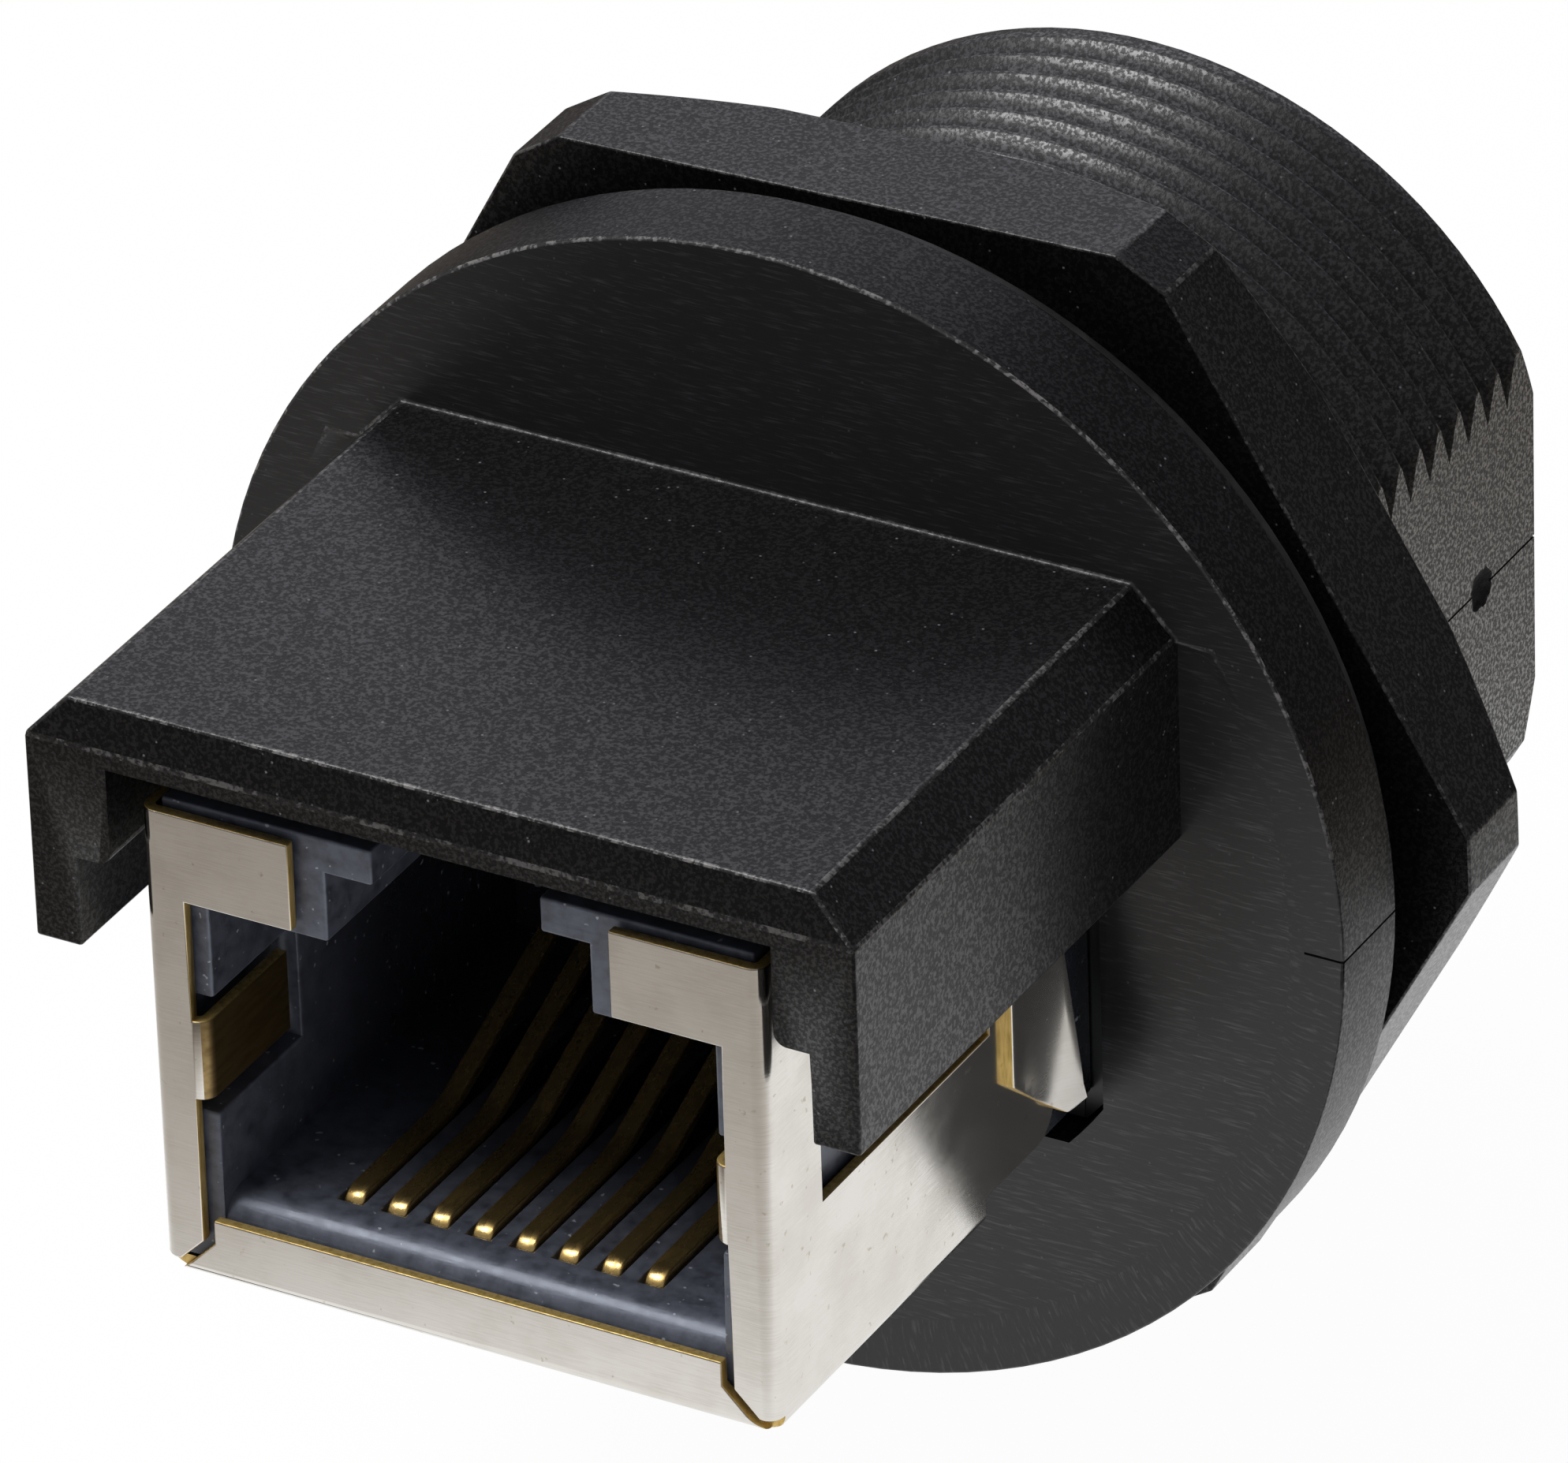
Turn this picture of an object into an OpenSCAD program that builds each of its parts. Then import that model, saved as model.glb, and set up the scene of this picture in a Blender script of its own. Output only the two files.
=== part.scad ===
// Panel feed-through for eight-contact modular plugs.
// The origin is on the barrel's axis in the flange's panel face, +Y runs along the barrel,
// +Z is the latch side of the front port. All sizes are in millimetres.

/* [Port] */
// Width of the plug opening
port_w = 11.9; // [11.7:0.05:12.6]
// Height of the plug opening
port_h = 7; // [6.7:0.05:7.4]
// Depth of the port's floor below the barrel's axis
port_floor = 3.87; // [3.6:0.01:4.2]
// Depth of the plug opening behind the insert's face
port_depth = 12.2; // [11.5:0.1:13]
// Width of the latch slot next to the port
latch_wide_w = 6.2; // [5.8:0.05:6.6]
// Height of the latch slot's wide step
latch_wide_h = 1.64; // [1.4:0.02:1.9]
// Width of the latch slot's open throat
latch_throat_w = 3.94; // [3.4:0.02:4.4]
// Depth of the latch slot behind the insert's face
latch_depth = 9; // [7:0.1:10.5]

/* [Contacts] */
// Number of contacts in a port
contact_count = 8; // [2:1:8]
// Distance between neighbouring contacts
contact_pitch = 1.02; // [0.96:0.01:1.08]
// Width of a contact
contact_w = 0.46; // [0.3:0.02:0.56]
// Thickness of a contact
contact_t = 0.26; // [0.18:0.02:0.34]
// Distance from the insert's face to the contacts' front bend
contact_setback = 1.15; // [0.8:0.05:1.6]
// Radius of the front bend at the contact's middle
contact_bend = 0.36; // [0.3:0.02:0.5]
// Length of the leg below the front bend
contact_leg = 0.3; // [0.2:0.05:0.5]
// Height of a resting contact's top above the port's floor
contact_proud = 0.13; // [0.05:0.01:0.25]
// Length of the straight stretch along the floor
contact_flat = 2.8; // [2:0.1:3.2]
// Radius of the two gentle bends
contact_sweep = 3; // [2:0.1:4]
// Climb of the front port's contacts in degrees
front_climb = 23; // [20:0.5:25]
// Climb of the rear port's contacts in degrees
rear_climb = 14; // [11:0.5:17]
// Straight end in front of the board
contact_tail = 1.9; // [1.2:0.1:2.4]
// Room between a contact and the slot it lies in
contact_clear = 0.06; // [0.04:0.01:0.08]
// Depth of the slots below the port's floor
comb_depth = 0.95; // [0.85:0.05:1.1]

/* [Insert] */
// Wall beside the port
insert_side = 1; // [0.9:0.05:1.3]
// Floor below the port
insert_floor = 1.6; // [1.4:0.05:2]
// Stock above the port, which the latch slot cuts
insert_top = 2.47; // [2.2:0.01:2.9]
// Wall behind the port
insert_back = 1.75; // [1.4:0.05:2.2]
// Rounding of the floor's front edge
floor_round = 0.7; // [0.4:0.05:0.9]
// Diameter of the posts that locate the insert on the board
post_d = 1.5; // [1.2:0.1:1.8]
// Length of the posts
post_len = 0.45; // [0.3:0.05:0.48]
// Distance from the insert's sides and top to the posts' middles
post_inset = 1.45; // [1.2:0.05:1.7]

/* [Shield] */
// Thickness of the shield's sheet
sheet = 0.25; // [0.2:0.01:0.3]
// Inside radius of the sheet's folds
fold_in = 0.1; // [0.05:0.01:0.15]
// Room between the shield and the insert
shield_clear = 0.1; // [0.08:0.01:0.16]
// Length of the shield's side walls
shield_len = 12; // [11:0.1:12.6]
// Distance that the shield's upper edge lies below the insert's top
shield_drop = 0.15; // [0:0.01:0.4]
// Width of the upright bars on the shield's face
bar_w = 1; // [0.8:0.05:1.3]
// Length of the retaining tabs at the top of the bars
tab_len = 2.55; // [2:0.05:2.8]
// Height of the retaining tabs
tab_h = 2.05; // [1.6:0.05:2.4]
// Height of the lip folded up below the port
lip_h = 1.5; // [1.3:0.05:1.6]
// Height of the upright ends of the lip above its mitres
lip_end_h = 0.57; // [0.4:0.01:0.7]
// Gap between the lip's ends and the bars
lip_gap = 0.27; // [0.2:0.01:0.4]
// Height of the ground tongues that turn into the port
tongue_h = 1.9; // [1.5:0.05:2.3]
// Length of the ground tongues inside the port
tongue_len = 3.3; // [2.5:0.1:4.5]
// Height of the tongues' middle above the barrel's axis
tongue_z = -0.4; // [-0.7:0.05:0]
// Room round a ground tongue in the insert's side
tongue_room = 0.45; // [0.3:0.05:0.6]
// Length of the bottom wall
bottom_len = 9; // [8:0.1:9.6]
// Height of the step in the side wall behind the bottom wall
side_step = 0.7; // [0.5:0.05:1]
// Rounding of the side wall's rear lower corner
side_round = 0.8; // [0.4:0.05:1]
// Distance from the shield's face to the window in its side
window_start = 2.2; // [1.8:0.1:3]
// Length of the window
window_len = 7.1; // [6:0.1:7.2]
// Distance from the barrel's axis down to the window's sill
window_sill = 1.22; // [0.8:0.01:1.6]
// Height of the window
window_h = 4; // [3:0.1:4.4]
// Length of the ground leaf beside the flange
leaf_len = 2.33; // [2:0.01:2.5]
// Distance that the leaf stands out from the side wall
leaf_out = 0.32; // [0.25:0.01:0.4]
// Depth of the leaf's front lower corner below the barrel's axis
leaf_front_drop = 2.8; // [2.4:0.05:3.2]
// Depth of the leaf's rear lower corner below the barrel's axis
leaf_rear_drop = 4.5; // [3.8:0.05:4.8]
// Height of the leaf's top above the barrel's axis
leaf_top = 1.5; // [1:0.05:1.9]
// Distance that the leaf reaches past the side wall's end
leaf_over = 0.23; // [0.1:0.01:0.4]
// Size of the leaf's cut rear corner
leaf_corner = 0.3; // [0.1:0.05:0.5]

/* [Board] */
// Thickness of the circuit board
board_t = 1; // [0.98:0.02:1.6]
// Room between the board's edge and the pocket in the flange
board_clear = 0.1; // [0.06:0.01:0.2]

/* [Body] */
// Wall from the bore's corners to the thread's crests
barrel_wall = 1; // [0.9:0.01:1.6]
// Wall from the bore's sides to the barrel's two flats
flat_wall = 1.7; // [1.2:0.05:2]
// Length of the barrel behind the flange
barrel_len = 15.1; // [14.6:0.1:18]
// Chamfer on the barrel's end
barrel_chamfer = 0.55; // [0.3:0.05:0.7]
// Distance between neighbouring turns of the thread
thread_pitch = 0.907; // [0.85:0.001:1.1]
// Depth of the thread's grooves
thread_depth = 0.45; // [0.3:0.01:0.5]
// Width of the thread's crests
crest_w = 0.12; // [0.08:0.01:0.2]
// Shortest distance from the flange to the first turn's groove
thread_start = 1.4; // [1.2:0.05:2]
// Distance from the last turn's groove to the barrel's end
thread_stop = 1.37; // [1.2:0.01:1.6]
// Room between the bore and the rear jack
bore_room = 0.1; // [0.06:0.01:0.16]
// Room at the bore's corners
corner_room = 0.02; // [0.02:0.01:0.2]
// Thickness of the flange
flange_t = 2.4; // [2:0.05:3.2]
// Width of the flange outside the thread's crests
flange_rim = 3.18; // [3:0.01:4.5]
// Width of the plain band round the recess in the flange's face
band_w = 1; // [0.7:0.05:1.4]
// Depth of the recess in the flange's face
recess_depth = 0.1; // [0.05:0.01:0.3]
// Distance from the hood's top down to the recess's upper edge
recess_drop = 1.15; // [0.8:0.05:1.8]
// Depth of the board's pocket, measured from the flange's face
pocket_depth = 2; // [1.6:0.05:2.2]
// Room between the shield and the sides of the flange's opening
opening_room = 0.4; // [0.3:0.05:0.46]
// Room between the shield and the floor of the flange's opening
opening_drop = 0.55; // [0.4:0.05:0.7]

/* [Hood] */
// Distance that the hood reaches past the shield's face
hood_overhang = 0.4; // [0.2:0.05:1]
// Room between the shield and the hood's sides
hood_room = 0.47; // [0.4:0.01:0.6]
// Room between the insert and the hood's roof
roof_room = 0.8; // [0.7:0.05:1]
// Thickness of the hood's roof
roof_t = 1.45; // [1.2:0.05:2]
// Thickness of the hood's sides next to the roof
skirt_t = 1.92; // [1.6:0.02:2.2]
// Depth of the rebate inside the sides' lower part
rebate = 0.82; // [0.6:0.02:0.9]
// Distance from the roof down to the rebate
rebate_drop = 2.3; // [2:0.05:2.6]
// Rounding of the rebate's corner
rebate_round = 0.3; // [0.1:0.05:0.5]
// Height of the hood's lower edges above the barrel's axis
skirt_bottom = 1.95; // [1.6:0.05:2.4]
// Width of the chamfers along the hood's upper edges
hood_chamfer_w = 1; // [0.6:0.05:1.3]
// Height of the chamfers along the hood's upper edges
hood_chamfer_h = 1.05; // [0.6:0.05:1.3]
// Height of the steep band along the hood's front edge
brow_h = 1; // [0.6:0.05:1.3]
// Depth that the steep band is set back at its top
brow_back = 0.15; // [0.05:0.01:0.4]

/* [Panel parts] */
// Thickness of the gasket
gasket_t = 0.8; // [0.5:0.05:1.5]
// Distance from the flange's rim in to the gasket's rim
gasket_inset = 0.5; // [0.2:0.05:1]
// Room between the gasket and the thread
gasket_clear = 0.2; // [0.1:0.05:0.4]
// Gap between the gasket and the nut, where the panel goes
panel_gap = 0.8; // [0.4:0.05:4]
// Thickness of the nut
nut_t = 3; // [2.5:0.1:4]
// Wall of the nut at the middle of its flats
nut_wall = 2.49; // [2.2:0.01:3.5]
// Distance that the nut's corners are cut back
nut_corner = 0.38; // [0.2:0.02:0.6]
// Length of the conical chamfer on the nut's rear, at its corners
nut_chamfer = 0.75; // [0.4:0.05:1]
// Angle of the nut's flats round the barrel in degrees
nut_turn = 1.5; // [0:0.5:59]
// Room between the nut's bore and the thread's crests
nut_clear = 0.08; // [0.05:0.01:0.1]
// Chamfer at both ends of the nut's bore
nut_lead = 0.4; // [0.2:0.05:0.6]

/* [Hidden] */
$fn = 96;
over = 1;
bend_steps = 8;
charcoal = [0.12, 0.12, 0.13];
rubber = [0.05, 0.05, 0.055];
slate = [0.17, 0.18, 0.21];
nickel = [0.72, 0.69, 0.62];
gold = [0.83, 0.64, 0.27];
mask_black = [0.06, 0.065, 0.065];

// A jack's own frame: y is measured from the shield's face towards the board.
port_top = port_h - port_floor;
insert_w = port_w + 2 * insert_side;
insert_low = -port_floor - insert_floor;
insert_high = port_top + insert_top;
insert_y = sheet + shield_clear;
jack_len = insert_y + port_depth + insert_back;
fold_out = fold_in + sheet;
shield_half = insert_w / 2 + shield_clear + sheet;
shield_low = insert_low - shield_clear / 3 - sheet;
shield_high = insert_high - shield_drop;
bar_in = shield_half - bar_w;
lip_half = bar_in - lip_gap;
lip_top = shield_low + lip_h;
mitre_top = lip_top - lip_end_h;

// Contacts are strips bent in the jack's Y-Z plane.
contact_y = insert_y + contact_setback;
contact_run_z = -port_floor + contact_proud - contact_t / 2;
contact_leg_y = contact_y + contact_t / 2;
contact_rise_y = contact_leg_y + contact_bend + contact_flat;
contact_level_y = jack_len - contact_tail;
contact_end_y = jack_len + post_len;
slot_w = contact_w + 2 * contact_clear;
function climb_len(a) = (contact_level_y - contact_rise_y - 2 * contact_sweep * sin(a)) / cos(a);
function tail_z(a) = contact_run_z + climb_len(a) * sin(a) + 2 * contact_sweep * (1 - cos(a));
function foot_point(a, r) = [contact_rise_y + r * sin(a), contact_run_z + contact_sweep - r * cos(a)];
function head_point(a, r, climb) =
    [contact_level_y - r * sin(a), tail_z(climb) - contact_sweep + r * cos(a)];
function contact_x(i) = (i - (contact_count + 1) / 2) * contact_pitch;

// The body grows outwards from the jack that has to pass through its barrel.
bore_half = shield_half + bore_room;
bore_low = shield_low - bore_room;
bore_high = insert_high + bore_room;
bore_r = norm([shield_half, shield_low]) + corner_room;
thread_d = 2 * (bore_r + barrel_wall);
thread_turns = floor((barrel_len - thread_stop - thread_start) / thread_pitch + 1 / 2);
lead_angle = atan(thread_pitch / (PI * thread_d));
flat_half = bore_half + flat_wall;
flange_d = thread_d + 2 * flange_rim;
flange_y = -flange_t;
ledge_y = flange_y + pocket_depth;
board_y = ledge_y - board_t;
jack_y = board_y - jack_len;
pocket_half = shield_half + opening_room;
pocket_low = shield_low - opening_drop;
roof_z = insert_high + roof_room;
pocket_high = roof_z - bore_room / 2;
hood_y = jack_y - hood_overhang;
hood_len = flange_y - hood_y;
hood_in = shield_half + hood_room;
hood_half = hood_in + skirt_t;
hood_high = roof_z + roof_t;
rebate_z = roof_z - rebate_drop;
gasket_d = flange_d - 2 * gasket_inset;
nut_y = gasket_t + panel_gap;
nut_apothem = thread_d / 2 + nut_wall;
nut_corner_r = nut_apothem / cos(30) - nut_corner;

front_contacts = [for (i = [1 : contact_count]) str("front_contact_", i)];
rear_contacts = [for (i = [1 : contact_count]) str("rear_contact_", i)];

// Both halves of something that is alike on its two sides.
module both_sides() {
    children();
    mirror([1, 0, 0]) children();
}

// A straight prism along +Y with its outline drawn in X and Z.
module along_y(from, length) {
    translate([0, from + length, 0]) rotate([90, 0, 0]) linear_extrude(length) children();
}

// A straight prism along X, centred, with its outline drawn in Y and Z.
module along_x(length) {
    rotate([90, 0, 90]) linear_extrude(length, center = true) children();
}

// A turned solid round the barrel's axis.
module turned(d, from, length) {
    translate([0, from, 0]) rotate([-90, 0, 0]) cylinder(d = d, h = length);
}

// What has to come off a square corner to round it.
module corner_off(r) {
    difference() {
        translate([-over, -over]) square(r + over);
        translate([r, r]) circle(r);
    }
}

// A quarter of a folded strip, from the +X side of its centre to the +Y side.
module fold_2d(r_in, r_out) {
    intersection() {
        difference() {
            circle(r_out);
            circle(r_in);
        }
        square(r_out + over);
    }
}

module front_place() {
    translate([0, jack_y, 0]) children();
}

module rear_place() {
    translate([0, ledge_y + jack_len, 0]) rotate([0, 0, 180]) children();
}

// Moulded insert

module latch_slot_2d() {
    translate([-latch_wide_w / 2, 0]) square([latch_wide_w, port_top + latch_wide_h]);
    translate([-latch_throat_w / 2, 0]) square([latch_throat_w, insert_high + over]);
}

module tongue_notch() {
    notch_h = tongue_h + 2 * tongue_room;
    notch_len = tongue_len + tongue_room;
    translate([0, 0, tongue_z - notch_h / 2])
        cube([bar_in + tongue_room - shield_clear, notch_len, notch_h]);
}

module comb_slots(climb) {
    back_z = tail_z(climb) + contact_t / 2 + contact_clear;
    for (i = [1 : contact_count])
        translate([contact_x(i) - slot_w / 2, 0, -port_floor - comb_depth]) {
            translate([0, contact_y - contact_clear, 0])
                cube([slot_w, jack_len + over - contact_y, comb_depth + over]);
            translate([0, insert_y + port_depth - over, 0])
                cube([slot_w, insert_back + 2 * over, back_z + port_floor + comb_depth]);
        }
}

module post_places() {
    both_sides() translate([insert_w / 2 - post_inset, 0, insert_high - post_inset]) children();
}

module jack_insert(climb) {
    color(slate) {
        difference() {
            translate([-insert_w / 2, insert_y, insert_low])
                cube([insert_w, port_depth + insert_back, insert_high - insert_low]);
            translate([-port_w / 2, 0, -port_floor]) cube([port_w, insert_y + port_depth, port_h]);
            along_y(0, insert_y + latch_depth) latch_slot_2d();
            both_sides() tongue_notch();
            comb_slots(climb);
            along_x(port_w) translate([insert_y, -port_floor]) mirror([0, 1]) corner_off(floor_round);
        }
        post_places() turned(post_d, jack_len - over, post_len + over);
    }
}

// Folded shield

module side_outline_2d() {
    difference() {
        translate([0, shield_low + fold_out]) square([shield_len, shield_high - shield_low - fold_out]);
        translate([bottom_len, shield_low]) square([shield_len, side_step]);
        translate([shield_len, shield_low + side_step]) mirror([1, 0]) corner_off(side_round);
        translate([window_start, -window_sill]) square([window_len, window_h]);
    }
}

module side_fold_2d() {
    translate([shield_half - sheet, fold_out]) square([sheet, shield_len]);
    translate([bar_in, 0]) square([bar_w - fold_out, sheet]);
    translate([shield_half - fold_out, fold_out]) mirror([0, 1]) fold_2d(fold_in, fold_out);
}

module bar_foot_2d() {
    polygon([
        [bar_in - over, shield_low - over],
        [bar_in - over, mitre_top],
        [bar_in, mitre_top],
        [shield_half + over, mitre_top - bar_w - over],
        [shield_half + over, shield_low - over]
    ]);
}

module shield_side() {
    difference() {
        intersection() {
            translate([0, 0, shield_low]) linear_extrude(shield_high - shield_low) side_fold_2d();
            translate([shield_half, 0, 0]) along_x(2 * (bar_w + over)) side_outline_2d();
        }
        along_y(-over, over + fold_out) bar_foot_2d();
    }
}

module bottom_fold_2d() {
    translate([0, shield_low]) square([shield_half - fold_out, sheet]);
    translate([shield_half - fold_out, shield_low + fold_out]) mirror([0, 1]) fold_2d(fold_in, fold_out);
}

module lip_fold_2d() {
    translate([0, shield_low + fold_out]) square([sheet, lip_h - fold_out]);
    translate([fold_out, shield_low + fold_out]) rotate(180) fold_2d(fold_in, fold_out);
}

module lip_outline_2d() {
    polygon([
        [-lip_half, lip_top],
        [lip_half, lip_top],
        [lip_half, mitre_top],
        [lip_half + mitre_top - shield_low, shield_low],
        [-lip_half - mitre_top + shield_low, shield_low],
        [-lip_half, mitre_top]
    ]);
}

module shield_bottom() {
    both_sides() along_y(fold_out, bottom_len - fold_out) bottom_fold_2d();
    intersection() {
        along_x(2 * shield_half) lip_fold_2d();
        along_y(0, fold_out) lip_outline_2d();
    }
}

module ground_tongue_2d() {
    translate([port_w / 2, fold_out]) square([sheet, tongue_len - fold_out]);
    translate([port_w / 2 + fold_out, fold_out]) rotate(180) fold_2d(fold_in, fold_out);
    translate([port_w / 2 + fold_out, 0]) square([bar_in - port_w / 2, sheet]);
}

module ground_tongue() {
    translate([0, 0, tongue_z - tongue_h / 2]) linear_extrude(tongue_h) ground_tongue_2d();
}

module retaining_tab() {
    translate([bar_in - tab_len, 0, shield_high - tab_h]) cube([tab_len + sheet, sheet, tab_h]);
}

module ground_leaf() {
    leaf_end = shield_len + leaf_over;
    leaf_start = leaf_end - leaf_len;
    translate([shield_half - sheet / 2 + leaf_out / 2, 0, 0]) along_x(leaf_out + sheet) polygon([
        [leaf_start, leaf_top],
        [leaf_start, -leaf_front_drop],
        [leaf_end - leaf_corner, -leaf_rear_drop],
        [leaf_end, leaf_corner - leaf_rear_drop],
        [leaf_end, leaf_top]
    ]);
}

module jack_shield(leaves) {
    color(nickel) {
        both_sides() {
            shield_side();
            ground_tongue();
            retaining_tab();
            if (leaves) ground_leaf();
        }
        shield_bottom();
    }
}

// Bent contacts

module contact_2d(climb) {
    leg_top = contact_run_z - contact_bend;
    half_t = contact_t / 2;
    translate([contact_leg_y - half_t, leg_top - contact_leg]) square([contact_t, contact_leg]);
    translate([contact_leg_y + contact_bend, leg_top])
        mirror([1, 0]) fold_2d(contact_bend - half_t, contact_bend + half_t);
    contact_run_2d(climb);
}

// The run along the floor, the climb and the tail in one outline, lower side first. The gentle bends at the
// climb's foot and head go round in short steps.
module contact_run_2d(climb) {
    r_in = contact_sweep - contact_t / 2;
    r_out = contact_sweep + contact_t / 2;
    rising = [for (s = [0 : bend_steps]) climb * s / bend_steps];
    falling = [for (a = rising) climb - a];
    polygon(concat(
        [[contact_rise_y - contact_flat, foot_point(0, r_out)[1]]],
        [for (a = rising) foot_point(a, r_out)],
        [for (a = falling) head_point(a, r_in, climb)],
        [for (r = [r_in, r_out]) [contact_end_y, head_point(0, r, climb)[1]]],
        [for (a = rising) head_point(a, r_out, climb)],
        [for (a = falling) foot_point(a, r_in)],
        [[contact_rise_y - contact_flat, foot_point(0, r_in)[1]]]
    ));
}

module contact(i, climb) {
    color(gold) translate([contact_x(i), 0, 0]) along_x(contact_w) contact_2d(climb);
}

// Board between the two jacks

module pocket_2d(room) {
    intersection() {
        translate([-pocket_half + room, pocket_low + room])
            square([2 * (pocket_half - room), pocket_high - pocket_low - 2 * room]);
        circle(bore_r - room);
    }
}

module contact_holes(climb) {
    for (i = [1 : contact_count])
        translate([contact_x(i), 0, tail_z(climb)])
            turned(norm([contact_w, contact_t]) + 2 * contact_clear, board_y - over, board_t + 2 * over);
}

module coupler_board() {
    color(mask_black) difference() {
        along_y(board_y, board_t) pocket_2d(board_clear);
        contact_holes(front_climb);
        contact_holes(rear_climb);
        post_places() turned(post_d + 2 * contact_clear, board_y - over, board_t + 2 * over);
    }
}

// Moulded body

module hood_2d() {
    both_sides() difference() {
        polygon([
            [0, roof_z],
            [hood_in, roof_z],
            [hood_in, rebate_z],
            [hood_in + rebate, rebate_z],
            [hood_in + rebate, skirt_bottom],
            [hood_half, skirt_bottom],
            [hood_half, hood_high - hood_chamfer_h],
            [hood_half - hood_chamfer_w, hood_high],
            [0, hood_high]
        ]);
        translate([hood_in, rebate_z]) corner_off(rebate_round);
    }
}

module brow_2d() {
    polygon([
        [hood_y - over, hood_high - brow_h],
        [hood_y, hood_high - brow_h],
        [hood_y + brow_back, hood_high],
        [hood_y + brow_back, hood_high + over],
        [hood_y - over, hood_high + over]
    ]);
}

module hood() {
    difference() {
        along_y(hood_y, hood_len + recess_depth) hood_2d();
        along_x(2 * (hood_half + over)) brow_2d();
    }
}

module flange() {
    recess_r = flange_d / 2 - band_w;
    difference() {
        turned(flange_d, flange_y, flange_t);
        along_y(flange_y - over, over + recess_depth) intersection() {
            circle(recess_r);
            translate([-recess_r, -recess_r])
                square([2 * recess_r, recess_r + hood_high - recess_drop]);
        }
    }
}

// The V between two crests, drawn on a little way past them.
module groove_2d() {
    groove_half = (thread_pitch - crest_w) / 2;
    past = crest_w / 3;
    reach = groove_half * (1 + past / thread_depth);
    polygon([
        [thread_d / 2 - thread_depth, 0],
        [thread_d / 2 + past, -reach],
        [thread_d / 2 + past, reach]
    ]);
}

// The barrel's flats part each turn of the thread in two halves, so each half is a plain round groove
// that leans by the thread's lead and lies half a pitch on from the one before.
module thread_grooves() {
    for (turn = [0 : thread_turns - 1], half = [0, 1])
        translate([0, barrel_len - thread_stop - (turn + half / 2) * thread_pitch, 0])
            rotate([0, 180 * half, 0]) rotate([90, 0, lead_angle])
                rotate_extrude(angle = 180) groove_2d();
}

module barrel() {
    difference() {
        intersection() {
            union() {
                turned(thread_d, -over, over + barrel_len - barrel_chamfer);
                translate([0, barrel_len - barrel_chamfer, 0]) rotate([-90, 0, 0])
                    cylinder(d1 = thread_d, d2 = thread_d - 2 * barrel_chamfer, h = barrel_chamfer);
            }
            translate([-flat_half, -over, -thread_d])
                cube([2 * flat_half, over + barrel_len, 2 * thread_d]);
        }
        thread_grooves();
    }
}

module bore_2d() {
    intersection() {
        translate([-bore_half, bore_low]) square([2 * bore_half, bore_high - bore_low]);
        circle(bore_r);
    }
}

module bulkhead_body() {
    color(charcoal) difference() {
        union() {
            barrel();
            flange();
            hood();
        }
        along_y(flange_y - over, over + pocket_depth) pocket_2d(0);
        along_y(ledge_y - over, over - ledge_y + barrel_len + over) bore_2d();
    }
}

// Pieces that clamp the panel

module panel_gasket() {
    color(rubber) difference() {
        turned(gasket_d, 0, gasket_t);
        turned(thread_d + 2 * gasket_clear, -over, gasket_t + 2 * over);
    }
}

module nut_2d() {
    intersection() {
        circle(nut_apothem / cos(30), $fn = 6);
        rotate(30) circle(nut_corner_r / cos(30), $fn = 6);
    }
}

module panel_nut() {
    bore_d = thread_d + 2 * nut_clear;
    corner_reach = norm([nut_corner_r, nut_corner * tan(60)]);
    cone_r = corner_reach - nut_chamfer / tan(30);
    color(charcoal) translate([0, nut_y, 0]) difference() {
        intersection() {
            rotate([0, -nut_turn, 0]) along_y(0, nut_t) nut_2d();
            rotate([-90, 0, 0]) cylinder(r1 = cone_r + nut_t / tan(30), r2 = cone_r, h = nut_t);
        }
        turned(bore_d, -over, nut_t + 2 * over);
        for (end = [0, 1])
            translate([0, end * nut_t, 0]) rotate([end ? 90 : -90, 0, 0])
                cylinder(d1 = bore_d + 2 * nut_lead, d2 = bore_d, h = nut_lead);
    }
}

bulkhead_body();
panel_nut();
panel_gasket();
coupler_board();
front_place() jack_insert(front_climb);  // front_insert
front_place() jack_shield(true);  // front_shield
rear_place() jack_insert(rear_climb);  // rear_insert
rear_place() jack_shield(false);  // rear_shield
for (i = [1 : contact_count]) {
    front_place() contact(i, front_climb);
    rear_place() contact(i, rear_climb);
}
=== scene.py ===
"""Looks of a panel feed-through for eight-contact modular plugs, in the order it is put together.

Lengths are in millimetres, patterns in waves a millimetre and turns in degrees, unless a section says so.
"""
import math

import bmesh
import bpy
from mathutils import Matrix, Vector, noise


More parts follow.
